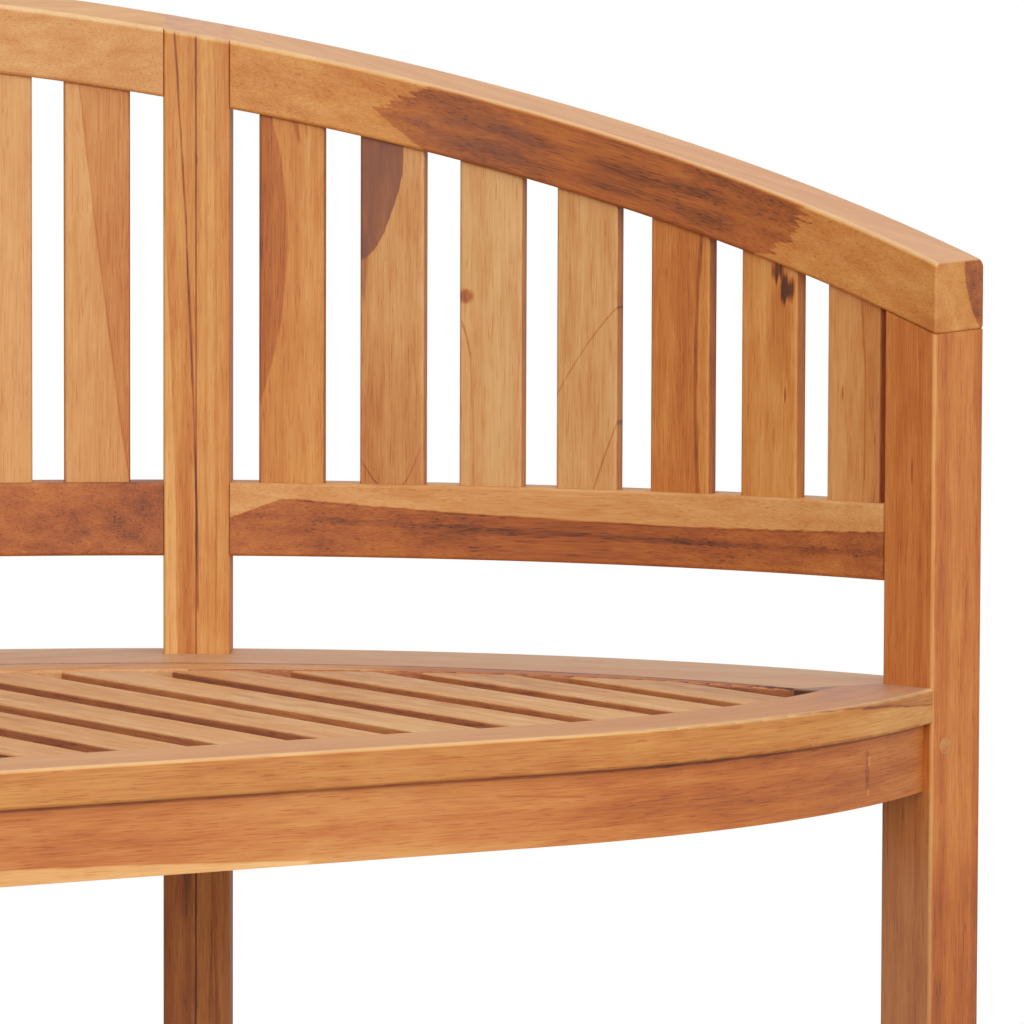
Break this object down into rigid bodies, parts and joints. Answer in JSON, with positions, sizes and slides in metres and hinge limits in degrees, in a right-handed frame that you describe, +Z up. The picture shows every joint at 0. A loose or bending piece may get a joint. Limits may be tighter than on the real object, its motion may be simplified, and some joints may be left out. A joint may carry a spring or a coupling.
{
  "type": "banana bench",
  "caption": "Curved wooden garden bench: slatted arc back whose crown falls into the arms, slatted seat with a swept front, square posts and legs.",
  "frame": {"origin": "on the floor, at the centre of the bench's bounding box", "axes": "+Z up, +X to the sitter's left-hand arm as seen from the front (the viewer's right), +Y toward the back"},
  "size_m": [1.2, 0.632, 0.8597],
  "materials": {
    "teak": "fine-sanded, unfinished"
  },
  "bodies": {
    "root": {"back_apron_centre": "teak", "back_apron_left": "teak", "back_apron_right": "teak", "back_post_left": "teak", "back_post_right": "teak", "back_seat_rail_centre": "teak", "back_seat_rail_left": "teak", "back_seat_rail_right": "teak", "centre_slat_1": "teak", "centre_slat_10": "teak", "centre_slat_2": "teak", "centre_slat_3": "teak", "centre_slat_4": "teak", "centre_slat_5": "teak", "centre_slat_6": "teak", "centre_slat_7": "teak", "centre_slat_8": "teak", "centre_slat_9": "teak", "crown_rail_centre": "teak", "crown_rail_left": "teak", "crown_rail_right": "teak", "front_apron": "teak", "front_leg_left": "teak", "front_leg_right": "teak", "front_seat_rail": "teak", "leg_pegs": "teak", "lower_rail_centre": "teak", "lower_rail_left": "teak", "lower_rail_right": "teak", "rail_dowels": "teak", "seat_slat_1": "teak", "seat_slat_10": "teak", "seat_slat_11": "teak", "seat_slat_12": "teak", "seat_slat_13": "teak", "seat_slat_14": "teak", "seat_slat_15": "teak", "seat_slat_16": "teak", "seat_slat_2": "teak", "seat_slat_3": "teak", "seat_slat_4": "teak", "seat_slat_5": "teak", "seat_slat_6": "teak", "seat_slat_7": "teak", "seat_slat_8": "teak", "seat_slat_9": "teak", "side_slat_1_left": "teak", "side_slat_1_right": "teak", "side_slat_2_left": "teak", "side_slat_2_right": "teak", "side_slat_3_left": "teak", "side_slat_3_right": "teak", "side_slat_4_left": "teak", "side_slat_4_right": "teak", "side_slat_5_left": "teak", "side_slat_5_right": "teak", "side_slat_6_left": "teak", "side_slat_6_right": "teak", "side_slat_7_left": "teak", "side_slat_7_right": "teak"}
  },
  "joints": []
}
